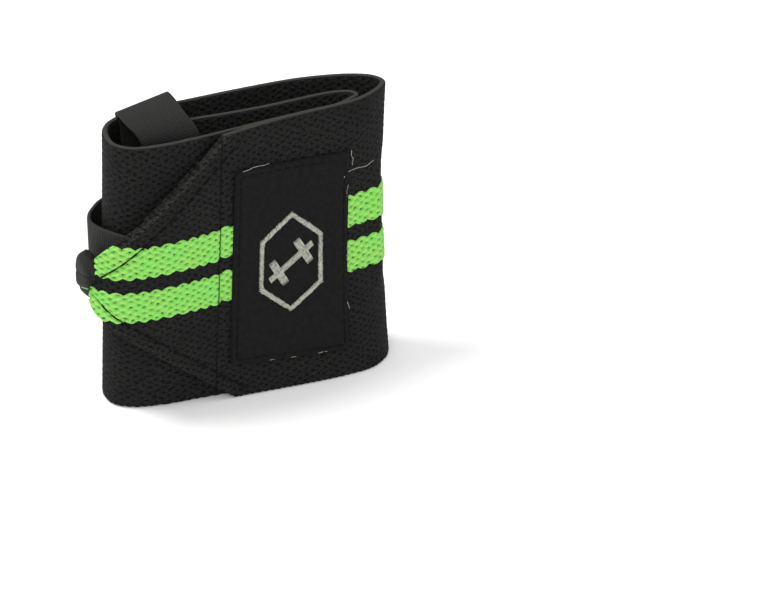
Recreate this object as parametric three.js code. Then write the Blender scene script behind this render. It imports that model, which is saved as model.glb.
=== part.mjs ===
// A knitted elastic wrist wrap with a pointed end, rolled flat and standing on its lower edge.
// Millimetres, Z up. The front of the roll faces -Y, its long side runs along X and z = 0 is where it stands.
import * as THREE from "three";

// The band and the roll
const BAND_WIDTH = 76;
const BAND_THICKNESS = 1.8;
const ROLL_LENGTH = 80;
const ROLL_DEPTH = 30;
const SEWN_GAP = 0.3;
const WAIST = 1.6;

// The pointed outer end
const POINT_LENGTH = 40;
const TIP_HALF_HEIGHT = 6.1;
const HEM_START = 17;
const HEM_END = 33;
const HEM_WIDTH = 8;
const HEM_THICKNESS = 0.8;

// The two bright stripes
const STRIPE_WIDTH = 8.4;
const STRIPE_SPACING = 4.1;
const STRIPE_RAISE = 1.6;
const STRIPE_THICKNESS = 0.45;
const STRIPE_END_INSET = 151;

// The label patch and its embroidery
const PATCH_WIDTH = 34.6;
const PATCH_HEIGHT = 55;
const PATCH_THICKNESS = 0.8;
const PATCH_DISTANCE = 57.6;
const PATCH_DROP = 1.2;
const PATCH_TURN = THREE.MathUtils.degToRad(-3.6);
const EMBLEM_WIDTH = 22;
const EMBLEM_HEIGHT = 28;
const EMBLEM_LINE = 1.6;
const EMBLEM_THICKNESS = 0.4;
const BAR_LENGTH = 15;
const BAR_LINE = 1.8;
const PLATE_LENGTH = 8;
const BAR_TURN = THREE.MathUtils.degToRad(35);

// The two ribbons and the knot at the tip
const RIBBON_WIDTH = 16;
const RIBBON_THICKNESS = 1;
const STRAP_RAISE = 6.3;
const LOOP_RISE = 3.2;
const LOOP_SLANT = 1.8;
const LOOP_LEAN = 2.9;
const LOOP_DROP = 44;
const LOOP_INSET = 4.5;
const CAP_LENGTH = 14;
const CAP_WIDTH = 5.2;
const CAP_DEPTH = 4.4;
const CAP_OFFSET = 0.3;
const CAP_RAISE = 1.2;

// The wound path of the band, from its pointed tip inwards. Each row holds a place on the lower edge and one on
// the upper edge, as shares of the roll's length and depth, then the whole or part layers that it stands
// further out along X and Y, and the height of the upper edge as a share of the band's width.
const BAND_ROWS = [
  { low: [-0.031, 0.325], top: [-0.031, 0.325], layers: [-0.9, -0.25], crest: 1 },
  { low: [-0.024, 0.26], top: [-0.024, 0.26], layers: [-0.8, -0.6], crest: 1 },
  { low: [0.008, 0.143], top: [0.008, 0.143], layers: [-0.4, -0.9], crest: 1 },
  { low: [0.063, 0.09], top: [0.063, 0.09], layers: [0, -1], crest: 1 },
  { low: [0.138, 0.08], top: [0.138, 0.08], layers: [0, -1], crest: 1 },
  { low: [0.225, 0.09], top: [0.225, 0.1], layers: [0, -1], crest: 1 },
  { low: [0.3, 0.1], top: [0.3, 0.145], layers: [0, -1], crest: 1 },
  { low: [0.4, 0.11], top: [0.4, 0.21], layers: [0, -1], crest: 1 },
  { low: [0.525, 0.1], top: [0.525, 0.295], layers: [0, -1], crest: 1 },
  { low: [0.675, 0.087], top: [0.675, 0.365], layers: [0, -1], crest: 1 },
  { low: [0.8, 0.093], top: [0.8, 0.405], layers: [0, -1], crest: 1 },
  { low: [0.882, 0.13], top: [0.898, 0.47], layers: [0.5, -0.9], crest: 1 },
  { low: [0.937, 0.237], top: [0.978, 0.6], layers: [1, -0.3], crest: 1 },
  { low: [0.957, 0.367], top: [0.998, 0.677], layers: [1, 0], crest: 1 },
  { low: [0.946, 0.497], top: [0.987, 0.747], layers: [1, 0.3], crest: 1 },
  { low: [0.915, 0.583], top: [0.966, 0.795], layers: [0.8, 0.6], crest: 1 },
  { low: [0.866, 0.63], top: [0.917, 0.843], layers: [0.3, 1], crest: 1 },
  { low: [0.788, 0.683], top: [0.828, 0.9], layers: [0, 1], crest: 1 },
  { low: [0.675, 0.73], top: [0.738, 0.923], layers: [0, 1], crest: 1 },
  { low: [0.5, 0.79], top: [0.554, 0.907], layers: [0, 1], crest: 1 },
  { low: [0.325, 0.837], top: [0.388, 0.873], layers: [0, 1], crest: 1 },
  { low: [0.15, 0.852], top: [0.225, 0.875], layers: [0, 0.5], crest: 1 },
  { low: [0.069, 0.833], top: [0.129, 0.847], layers: [0, 0], crest: 1 },
  { low: [0.03, 0.717], top: [0.069, 0.72], layers: [0, 0], crest: 1 },
  { low: [0, 0.517], top: [0.041, 0.517], layers: [0, 0], crest: 1 },
  { low: [0.008, 0.34], top: [0.044, 0.313], layers: [0, 0], crest: 1 },
  { low: [0.054, 0.23], top: [0.088, 0.187], layers: [0, 0], crest: 1 },
  { low: [0.156, 0.163], top: [0.175, 0.15], layers: [0, 0], crest: 1 },
  { low: [0.275, 0.147], top: [0.275, 0.167], layers: [0, 0], crest: 1 },
  { low: [0.375, 0.133], top: [0.375, 0.243], layers: [0, 0], crest: 0.99 },
  { low: [0.475, 0.12], top: [0.475, 0.307], layers: [0, 0], crest: 0.985 },
  { low: [0.625, 0.103], top: [0.625, 0.367], layers: [0, 0], crest: 0.985 },
  { low: [0.75, 0.1], top: [0.75, 0.407], layers: [0, 0], crest: 0.985 },
  { low: [0.825, 0.113], top: [0.825, 0.43], layers: [0, 0], crest: 0.985 },
  { low: [0.882, 0.153], top: [0.88, 0.5], layers: [0, 0], crest: 0.985 },
  { low: [0.925, 0.267], top: [0.915, 0.563], layers: [0, 0], crest: 0.985 },
  { low: [0.919, 0.367], top: [0.905, 0.64], layers: [0, 0], crest: 0.985 },
  { low: [0.875, 0.41], top: [0.863, 0.683], layers: [0, 0], crest: 0.985 },
  { low: [0.8, 0.427], top: [0.8, 0.687], layers: [0, 0], crest: 0.985 },
  { low: [0.713, 0.443], top: [0.725, 0.667], layers: [0, 0], crest: 0.985 },
  { low: [0.625, 0.467], top: [0.631, 0.64], layers: [0, 0], crest: 0.985 },
  { low: [0.538, 0.5], top: [0.544, 0.627], layers: [0, 0], crest: 0.985 },
  { low: [0.438, 0.54], top: [0.45, 0.623], layers: [0, 0], crest: 0.985 },
  { low: [0.338, 0.567], top: [0.35, 0.633], layers: [0, 0], crest: 0.985 },
  { low: [0.188, 0.55], top: [0.2, 0.617], layers: [0, 0], crest: 0.985 },
];

// The strap's path in plan, from under the tip, round the roll's left end and on to its back, in the same shares.
const STRAP_ROWS = [
  [0.119, 0.103],
  [0.056, 0.113],
  [0.012, 0.263],
  [-0.015, 0.403],
  [-0.025, 0.54],
  [-0.009, 0.68],
  [0.016, 0.78],
  [0.056, 0.897],
  [0.113, 0.967],
  [0.2, 1.007],
  [0.325, 1.02],
];

// The thumb loop's path across the left hollow, from its front foot over the rim to its back foot. Columns: depth
// as a share of the roll's depth, height above the rim as a share of the rise where positive and of the drop where
// negative, how closely it hugs the band's inner end, from 0 to 1, on its front (-1) or its back (1), and how far
// it leans to the left as a share of the lean.
const LOOP_ROWS = [
  { depth: 0.53, height: -1, hug: 1, side: -1, lean: 0 },
  { depth: 0.53, height: -0.79, hug: 1, side: -1, lean: 0 },
  { depth: 0.53, height: -0.72, hug: 1, side: -1, lean: 0 },
  { depth: 0.43, height: -0.4, hug: 0, side: -1, lean: 0 },
  { depth: 0.305, height: -0.15, hug: 0, side: -1, lean: 0 },
  { depth: 0.29, height: -0.03, hug: 0, side: -1, lean: 0.08 },
  { depth: 0.345, height: 0.35, hug: 0, side: -1, lean: 0.4 },
  { depth: 0.45, height: 0.75, hug: 0, side: -1, lean: 0.8 },
  { depth: 0.58, height: 1, hug: 0, side: 1, lean: 1 },
  { depth: 0.71, height: 0.75, hug: 0, side: 1, lean: 1 },
  { depth: 0.715, height: -0.01, hug: 0, side: 1, lean: 0.6 },
  { depth: 0.71, height: -0.16, hug: 0, side: 1, lean: 0.5 },
  { depth: 0.69, height: -0.45, hug: 0, side: 1, lean: 0.3 },
  { depth: 0.64, height: -0.72, hug: 1, side: 1, lean: 0 },
  { depth: 0.64, height: -0.79, hug: 1, side: 1, lean: 0 },
  { depth: 0.64, height: -1, hug: 1, side: 1, lean: 0 },
];

const LAYER_STEP = BAND_THICKNESS + SEWN_GAP;
const BAND_FACE = BAND_THICKNESS / 2;
const STRIPE_FACE = BAND_FACE + SEWN_GAP + STRIPE_THICKNESS;
const PATCH_FACE = STRIPE_FACE + SEWN_GAP + PATCH_THICKNESS;
const POINT_SLOPE = (BAND_WIDTH / 2 - TIP_HALF_HEIGHT) / POINT_LENGTH;

// A place in plan from its shares of the roll, with the middle of the roll's length at x = 0
function placeInPlan([lengthShare, depthShare]) {
  return new THREE.Vector3((lengthShare - 0.5) * ROLL_LENGTH, (depthShare - 0.5) * ROLL_DEPTH, 0);
}

function bandPath(edge) {
  const points = BAND_ROWS.map((row) => {
    const [layersX, layersY] = row.layers;
    return placeInPlan(row[edge]).add(new THREE.Vector3(layersX * LAYER_STEP, layersY * LAYER_STEP, 0));
  });
  return new THREE.CatmullRomCurve3(points, false, "centripetal");
}

const LOW_PATH = bandPath("low");
const TOP_PATH = bandPath("top");
const MIDDLE_POINTS = LOW_PATH.points.map((point, index) => point.clone().lerp(TOP_PATH.points[index], 0.5));
const MIDDLE_PATH = new THREE.CatmullRomCurve3(MIDDLE_POINTS, false, "centripetal");
MIDDLE_PATH.arcLengthDivisions = 900;
const BAND_LENGTH = MIDDLE_PATH.getLength();

// The middle of the band's thickness, at a share of its path and a height
function bandCentre(share, z) {
  const point = LOW_PATH.getPoint(share).lerp(TOP_PATH.getPoint(share), z / BAND_WIDTH);
  const lengthShare = THREE.MathUtils.clamp(point.x / ROLL_LENGTH + 0.5, 0, 1);
  point.x -= WAIST * lengthShare ** 2 * Math.sin((Math.PI * z) / BAND_WIDTH);
  return point.setZ(z);
}

// A place on or off the band: the distance along it from its tip, the height, and how far out from its middle
function bandPoint(distance, z, standOff) {
  const share = MIDDLE_PATH.getUtoTmapping(0, distance);
  const ahead = bandCentre(Math.min(share + 0.0005, 1), z);
  const behind = bandCentre(Math.max(share - 0.0005, 0), z);
  const along = ahead.sub(behind).setZ(0).normalize();
  const outward = new THREE.Vector3(along.y, -along.x, 0);
  return bandCentre(share, z).addScaledVector(outward, standOff);
}

function bandCrest(distance) {
  const place = MIDDLE_PATH.getUtoTmapping(0, distance) * (BAND_ROWS.length - 1);
  const before = Math.min(Math.floor(place), BAND_ROWS.length - 2);
  return BAND_WIDTH * THREE.MathUtils.lerp(BAND_ROWS[before].crest, BAND_ROWS[before + 1].crest, place - before);
}

// Half the height that the pointed end leaves, at a distance from the tip
function pointHalfHeight(distance) {
  return TIP_HALF_HEIGHT + distance * POINT_SLOPE;
}

function lowerEdge(distance) {
  return Math.max(0, BAND_WIDTH / 2 - pointHalfHeight(distance));
}

function upperEdge(distance) {
  return Math.min(bandCrest(distance), BAND_WIDTH / 2 + pointHalfHeight(distance));
}

function clothMaterial(color, roughness) {
  return new THREE.MeshStandardMaterial({ color, roughness, metalness: 0 });
}

function namedMesh(name, geometry, material) {
  const mesh = new THREE.Mesh(geometry, material);
  mesh.name = name;
  return mesh;
}

// Moves every corner of a geometry to the place that a function gives for it
function reshaped(geometry, placeOf) {
  const corners = geometry.getAttribute("position");
  for (let index = 0; index < corners.count; index += 1) {
    const place = placeOf(corners.getX(index), corners.getY(index), corners.getZ(index));
    corners.setXYZ(index, place.x, place.y, place.z);
  }
  geometry.computeVertexNormals();
  return geometry;
}

// A strip that follows the band, between two distances, two edges and two faces
function bandStrip({ from, to, low, high, inner, outer, lengthSteps, heightSteps }) {
  const block = new THREE.BoxGeometry(1, 1, 1, lengthSteps, 1, heightSteps);
  return reshaped(block, (x, y, z) => {
    const distance = THREE.MathUtils.lerp(from, to, x + 0.5);
    const height = THREE.MathUtils.lerp(low(distance), high(distance), z + 0.5);
    return bandPoint(distance, height, THREE.MathUtils.lerp(outer, inner, y + 0.5));
  });
}

// A place on the turned patch, from its middle
function patchPoint(across, up, standOff) {
  const turned = new THREE.Vector2(across, up).rotateAround(new THREE.Vector2(), PATCH_TURN);
  const middle = BAND_WIDTH / 2 - PATCH_DROP;
  return bandPoint(PATCH_DISTANCE + turned.x, middle + turned.y, standOff);
}

function elasticBand() {
  return bandStrip({
    from: 0,
    to: BAND_LENGTH,
    low: lowerEdge,
    high: upperEdge,
    inner: -BAND_FACE,
    outer: BAND_FACE,
    lengthSteps: 132,
    heightSteps: 6,
  });
}

// A bright stripe on the band's outer face, from the tip to just short of the roll's left end
function stripe(side) {
  const centre = BAND_WIDTH / 2 + STRIPE_RAISE + (side * (STRIPE_WIDTH + STRIPE_SPACING)) / 2;
  const lowest = centre - STRIPE_WIDTH / 2;
  const highest = centre + STRIPE_WIDTH / 2;
  return bandStrip({
    from: SEWN_GAP,
    to: BAND_LENGTH - STRIPE_END_INSET,
    low: (distance) => THREE.MathUtils.clamp(lowest, lowerEdge(distance), upperEdge(distance) - SEWN_GAP),
    high: (distance) => THREE.MathUtils.clamp(highest, lowerEdge(distance) + SEWN_GAP, upperEdge(distance)),
    inner: BAND_FACE + SEWN_GAP,
    outer: STRIPE_FACE,
    lengthSteps: 100,
    heightSteps: 1,
  });
}

// One corner of the pointed end, turned under and lying along the slanting edge
function cornerFold(side) {
  const edge = (distance) => BAND_WIDTH / 2 + side * pointHalfHeight(distance);
  const nearEdge = (distance) => edge(distance) - side * SEWN_GAP;
  const farEdge = (distance) => edge(distance) - side * HEM_WIDTH;
  return bandStrip({
    from: HEM_START,
    to: HEM_END,
    low: side > 0 ? farEdge : nearEdge,
    high: side > 0 ? nearEdge : farEdge,
    inner: -BAND_FACE - SEWN_GAP - HEM_THICKNESS,
    outer: -BAND_FACE - SEWN_GAP,
    lengthSteps: 8,
    heightSteps: 2,
  });
}

function labelPatch() {
  const block = new THREE.BoxGeometry(PATCH_WIDTH, 1, PATCH_HEIGHT, 10, 1, 6);
  return reshaped(block, (x, y, z) => patchPoint(x, z, PATCH_FACE - (y + 0.5) * PATCH_THICKNESS));
}

// How far a hexagon with a point at its top reaches in a direction, as a share of its farthest corner
function hexagonReach(angle) {
  const sector = Math.PI / 3;
  const fromSide = THREE.MathUtils.euclideanModulo(angle, sector) - sector / 2;
  return Math.cos(sector / 2) / Math.cos(fromSide);
}

// The embroidered hexagonal line: a ring of square section, with its inner wall at radius 1 and its outer at 2
function emblemRing() {
  const profile = [
    [1, 0],
    [1, 1],
    [2, 1],
    [2, 0],
    [1, 0],
  ].map(([radius, height]) => new THREE.Vector2(radius, height));
  const ring = new THREE.LatheGeometry(profile, 36);
  return reshaped(ring, (x, y, z) => {
    const angle = Math.atan2(x, z);
    const inset = (2 - Math.hypot(x, z)) * EMBLEM_LINE;
    const reach = hexagonReach(angle);
    const across = Math.sin(angle) * reach * (EMBLEM_WIDTH / 2 - inset);
    const up = Math.cos(angle) * reach * (EMBLEM_HEIGHT / 2 - inset);
    return patchPoint(across, up, PATCH_FACE + SEWN_GAP + y * EMBLEM_THICKNESS);
  });
}

// A slanting bar with a cross plate near each end
function emblemBar() {
  const bar = BAR_LENGTH / 2;
  const line = BAR_LINE / 2;
  const plate = PLATE_LENGTH / 2;
  const plateInner = bar - 2.2 * BAR_LINE;
  const plateOuter = bar - 1.2 * BAR_LINE;
  const quarter = [
    [0, line],
    [plateInner, line],
    [plateInner, plate],
    [plateOuter, plate],
    [plateOuter, line],
    [bar, line],
  ];
  const right = [...quarter, ...quarter.map(([x, y]) => [x, -y]).reverse()];
  const left = right.slice(1, -1).map(([x, y]) => [-x, -y]);
  const turn = new THREE.Vector2();
  const corners = [...right, ...left].map(([x, y]) => new THREE.Vector2(x, y).rotateAround(turn, BAR_TURN));
  const block = new THREE.ExtrudeGeometry(new THREE.Shape(corners), { depth: 1, bevelEnabled: false });
  return reshaped(block, (x, y, z) => patchPoint(x, y, PATCH_FACE + SEWN_GAP + z * EMBLEM_THICKNESS));
}

// The ribbon that starts under the tip, stands off the roll's left end and lies on its back
function tipStrap() {
  const path = new THREE.CatmullRomCurve3(STRAP_ROWS.map(placeInPlan), false, "centripetal");
  const middle = BAND_WIDTH / 2 + STRAP_RAISE;
  const block = new THREE.BoxGeometry(1, 1, RIBBON_WIDTH, 40, 1, 1);
  return reshaped(block, (x, y, z) => {
    const along = path.getTangentAt(x + 0.5);
    const outward = new THREE.Vector3(-along.y, along.x, 0);
    return path.getPointAt(x + 0.5).addScaledVector(outward, y * RIBBON_THICKNESS).setZ(middle + z);
  });
}

// The gathered ribbon end sewn over the very tip
function tipCap() {
  const ball = new THREE.SphereGeometry(1, 16, 12);
  ball.scale(CAP_WIDTH / 2, CAP_DEPTH / 2, CAP_LENGTH / 2);
  const tip = bandPoint(0, BAND_WIDTH / 2, BAND_FACE / 2);
  ball.translate(tip.x - CAP_OFFSET, tip.y + CAP_DEPTH / 2 + SEWN_GAP, tip.z + CAP_RAISE);
  return ball;
}

// How far the thumb loop stands from the band's middle where it is sewn to the inner end
const LOOP_STAND_OFF = BAND_FACE + SEWN_GAP + RIBBON_THICKNESS / 2;

// A place on the thumb loop's middle: a row of its path, and the share across the ribbon from left to right
function loopPlace(row, acrossShare) {
  const end = bandPoint(BAND_LENGTH, 0, 0);
  const x = end.x - LOOP_INSET + acrossShare * RIBBON_WIDTH - row.lean * LOOP_LEAN;
  const slant = row.height > -0.2 ? LOOP_SLANT * acrossShare * THREE.MathUtils.smoothstep(row.depth, 0.3, 0.7) : 0;
  const reach = row.height > 0 ? LOOP_RISE : LOOP_DROP;
  const z = BAND_WIDTH + row.height * reach + slant;
  const fromEnd = Math.max(0, x - end.x);
  const sewn = bandPoint(BAND_LENGTH - fromEnd, z, row.side * LOOP_STAND_OFF);
  const spread = row.side > 0 ? 0.12 * acrossShare : 0;
  const free = placeInPlan([0, row.depth + spread]);
  return new THREE.Vector3(x, THREE.MathUtils.lerp(free.y, sewn.y, row.hug), z);
}

// The ribbon loop at the band's inner end, standing out of the roll's left hollow
function thumbLoop() {
  const block = new THREE.BoxGeometry(1, 1, 1, 44, 1, 4);
  const paths = new Map();
  return reshaped(block, (x, y, z) => {
    if (!paths.has(z)) {
      const places = LOOP_ROWS.map((row) => loopPlace(row, z + 0.5));
      paths.set(z, new THREE.CatmullRomCurve3(places, false, "centripetal"));
    }
    const path = paths.get(z);
    const along = path.getTangentAt(x + 0.5);
    const outward = new THREE.Vector3(0, -along.z, along.y).normalize();
    return path.getPointAt(x + 0.5).addScaledVector(outward, y * RIBBON_THICKNESS);
  });
}

const knit = () => clothMaterial(0x232625, 0.95);
const brightYarn = () => clothMaterial(0x86dc64, 0.85);
const ribbon = () => clothMaterial(0x32322e, 0.6);

const wrap = new THREE.Group();
wrap.add(
  namedMesh("elastic_band", elasticBand(), knit()),
  namedMesh("stripe_upper", stripe(1), brightYarn()),
  namedMesh("stripe_lower", stripe(-1), brightYarn()),
  namedMesh("corner_fold_upper", cornerFold(1), knit()),
  namedMesh("corner_fold_lower", cornerFold(-1), knit()),
  namedMesh("label_patch", labelPatch(), clothMaterial(0x1c1c1c, 0.9)),
  namedMesh("emblem_ring", emblemRing(), clothMaterial(0xc3c3b9, 0.5)),
  namedMesh("emblem_bar", emblemBar(), clothMaterial(0xc3c3b9, 0.5)),
  namedMesh("tip_strap", tipStrap(), ribbon()),
  namedMesh("tip_cap", tipCap(), ribbon()),
  namedMesh("thumb_loop", thumbLoop(), ribbon()),
);

// The part's origin is the middle of the bottom of its bounding box.
const bounds = new THREE.Box3().setFromObject(wrap);
const middle = bounds.getCenter(new THREE.Vector3());
wrap.position.set(-middle.x, -middle.y, -bounds.min.z);

export default wrap;
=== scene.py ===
"""Dresses the rolled elastic wrist wrap and sets up its studio.

The knit, the bright stripes, the patch, the embroidery, the ribbons and the stitches are made here.
Lengths are in millimetres until a mesh is made, and the frame is in metres.
"""

import math

import bpy
import numpy as np
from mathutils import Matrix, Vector


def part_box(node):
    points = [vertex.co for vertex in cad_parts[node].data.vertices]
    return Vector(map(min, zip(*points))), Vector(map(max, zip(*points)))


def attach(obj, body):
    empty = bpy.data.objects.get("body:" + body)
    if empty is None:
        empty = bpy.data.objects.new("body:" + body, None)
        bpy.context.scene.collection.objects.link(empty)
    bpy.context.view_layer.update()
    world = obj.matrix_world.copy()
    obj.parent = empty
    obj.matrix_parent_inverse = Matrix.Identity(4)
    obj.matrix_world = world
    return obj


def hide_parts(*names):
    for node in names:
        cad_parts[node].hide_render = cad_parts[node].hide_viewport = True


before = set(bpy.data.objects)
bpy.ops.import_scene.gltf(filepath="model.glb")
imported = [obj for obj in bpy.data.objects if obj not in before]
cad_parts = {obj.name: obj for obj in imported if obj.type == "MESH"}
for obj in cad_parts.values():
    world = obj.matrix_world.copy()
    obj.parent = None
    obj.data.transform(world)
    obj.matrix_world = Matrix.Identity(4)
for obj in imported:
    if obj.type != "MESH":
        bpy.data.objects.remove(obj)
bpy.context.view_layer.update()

MM = 0.001

# The band and the roll, as in the CAD model
BAND_WIDTH = 76.0
BAND_THICKNESS = 1.8
ROLL_LENGTH = 80.0
ROLL_DEPTH = 30.0
SEWN_GAP = 0.3
WAIST = 1.6
LAYER_STEP = BAND_THICKNESS + SEWN_GAP
BAND_FACE = BAND_THICKNESS / 2

# The pointed outer end
POINT_LENGTH = 40.0
TIP_HALF_HEIGHT = 6.1
POINT_SLOPE = (BAND_WIDTH / 2 - TIP_HALF_HEIGHT) / POINT_LENGTH
HEM_START = 17.0
HEM_END = 33.0
HEM_WIDTH = 8.0
HEM_THICKNESS = 0.8
TOPSTITCH_INSET_UPPER = 5.0
TOPSTITCH_INSET_LOWER = 3.9
TOPSTITCH_START = 4.5
TOPSTITCH_PITCH = 2.6
TOPSTITCH_LENGTH = 1.9
EDGE_KNOBS = 0.3
TIP_PUFF = 1.1
TIP_PUFF_PLACE = 8.0
TIP_PUFF_WIDTH = 4.5

# The bright stripes, with the half thickness, the lift off the band and the reach of their faces, and the
# knit's repeat along the band and across it
STRIPE_WIDTH = 8.4
STRIPE_SPACING = 4.1
STRIPE_RAISE = 1.6
STRIPE_END_INSET = 151.0
UPPER_STRIPE_START = 3.2
LOWER_STRIPE_START = 0.3
STRIPE_STEP = 0.27
STRIPE_HALF = 0.32
STRIPE_LIFT = 0.12
STRIPE_REACH = 0.34
STRIPE_LEDGE = 0.35
STITCH_ALONG = 3.4
STITCH_ACROSS = 1.8
SCALLOP_DEPTH = 0.8
SCALLOP_INSET = 0.5
SEAM_STEP = 0.5

# The cloth's relief: how high or deep each feature is, and how wide the lines and the pits are
KNIT_RELIEF = 0.07
CLOTH_WAVES = 0.12
TOPSTITCH_DEPTH = 0.22
TOPSTITCH_WIDTH = 0.7
SEAM_DEPTH = 0.45
SEAM_WIDTH = 0.5
STRIPE_RELIEF = 0.14
PIT_DEPTH = 0.55
PIT_RADIUS = 0.44
CREASE_DEPTH = 0.6
CREASE_WIDTH = 0.3

# The right fold is pressed sharper at the stripes: how far out or in, where along the band, over what width
FOLD_PRESSES = [
    (1.5, 86.0, 3.2),
    (-1.0, 93.0, 3.6),
]
FOLD_PRESS_FADE = 14.0

# The patch, its hem and its embroidery
PATCH_WIDTH = 34.6
PATCH_HEIGHT = 55.0
PATCH_DISTANCE = 57.6
PATCH_DROP = 1.2
PATCH_TURN = math.radians(-3.6)
PATCH_INNER = 1.0
PATCH_OUTER = 2.25
PATCH_CORNER = 1.2
PATCH_HEM = 1.6
PATCH_HEM_DEPTH = 0.3
PATCH_HEM_WIDTH = 0.45
PATCH_STITCH = 2.6
PATCH_WAVES = 0.1
PATCH_EDGE = 1.2
PATCH_EDGE_DROP = 0.25
SEAM_INSET = 3.6
EMBLEM_WIDTH = 22.0
EMBLEM_HEIGHT = 28.0
EMBLEM_LINE = 1.6
BAR_LENGTH = 15.0
BAR_LINE = 1.8
PLATE_LENGTH = 8.0
BAR_TURN = math.radians(35)
RING_STITCHES = 170
RING_STITCH_SLANT = 0.06
RING_STITCH_STRAY = 0.12
THREAD = 0.46

# The other threads, by their radius, and how far the stray ones stand off the band's middle
HEM_THREAD = 0.17
SEWING_THREAD = 0.16
STRAY_THREAD = 0.08
STRAY_LIFT = 1.9
THREAD_SIDES = 6

# The ribbons and their flat lengths. The loop's painted shade fades along its length from LOOP_FOOT to
# LOOP_TOP.
RIBBON_WIDTH = 16.0
RIBBON_THICKNESS = 1.0
RIB_PITCH = 0.62
RIB_HEIGHT = 0.05
RIBBON_STEP = RIB_PITCH / 4
STRAP_RAISE = 6.3
LOOP_FOOT = 38.0
LOOP_TOP = 58.0
LOOP_RISE = 3.2
LOOP_SLANT = 1.8
LOOP_LEAN = 2.9
LOOP_DROP = 44.0
LOOP_INSET = 4.5
LOOP_SKEW = 0.12

# The tip's pad: the bulge over the tip's front, the lean of its foot, and its folds (depth, level and width)
CAP_BULGE = 3.4
CAP_BULGE_SIDE = 0.5
CAP_FOOT = 1.6
CAP_FOLDS = [
    (0.12, -0.42, 0.07),
    (0.07, 0.25, 0.06),
]

# The pad's stitches: level at the start and the end, and angle at the start and the end in degrees
TIP_STITCHES = [
    (-0.42, -0.42, 195, 250),
    (0.5, 0.62, 288, 300),
    (0.28, 0.2, 290, 306),
    (0.72, 0.8, 275, 285),
]

# How the knit strays: radians per millimetre along and across the band, and the reach along and across
STRAY_WAVES = [
    (0.31, 0.9, 0.3, 0.0),
    (0.47, -1.7, 0.22, 0.0),
    (0.8, 0.6, 0.0, 0.16),
    (1.9, 0.0, 0.0, 0.1),
]

# The photograph's camera
IMAGE_WIDTH = 765
FOCAL_PIXELS = 3045
SENSOR_WIDTH = 36.0
CAMERA_PLACE = (-247.9, -677.9, 404.9)
CAMERA_TURN = math.radians(23)
CAMERA_TILT = math.radians(28)

# The studio in metres: each lamp's name, place, size and power
LAMPS = [
    ("key", (-0.55, 0.35, 1.3), 0.55, 13),
    ("front", (-0.5, -1.0, 0.9), 0.8, 7),
    ("right", (1.0, -0.4, 0.9), 0.8, 3),
]
LAMP_TARGET = (0, 0, 0.04)
SKY_STRENGTH = 0.72
FLOOR_REACH = 6.0

# Colours as they look on the screen, from 0 to 255
KNIT_DARK = (17, 17, 17)
KNIT_LIGHT = (38, 39, 37)
KNIT_WORN = (22, 23, 22)
# Painted highlight along the slanting edges
KNIT_EDGE_HIGHLIGHT = (66, 68, 64)
# Painted shade in the knit's holes
KNIT_HOLE_SHADE = (10, 10, 10)
# Painted shade in the sunk seam and topstitch lines
KNIT_SEAM_SHADE = (9, 9, 9)
# Painted highlight on the upper selvedge, where the light from above falls
SELVEDGE_HIGHLIGHT = (52, 52, 49)
# Painted shade in the stripes' valleys and painted light on their hills
YARN_SHADED_VALLEY = (98, 168, 66)
YARN_LIT_HILL = (148, 208, 100)
YARN_FUZZ = (172, 224, 120)
YARN_STRAND = (106, 180, 74)
YARN_COOL = (104, 204, 92)
# Painted shade in the stripes' holes
YARN_HOLE_SHADE = (72, 124, 50)
# Painted shade in the stripes' sunk seam and stitch lines
YARN_SEAM_SHADE = (14, 48, 14)
PATCH_DARK = (17, 17, 17)
PATCH_LIGHT = (23, 23, 23)
SILVER_THREAD = (176, 176, 166)
PALE_THREAD = (168, 168, 160)
DARK_THREAD = (20, 20, 20)
GREEN_THREAD = (140, 225, 105)
FLOOR_COLOUR = (246, 246, 246)

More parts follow.
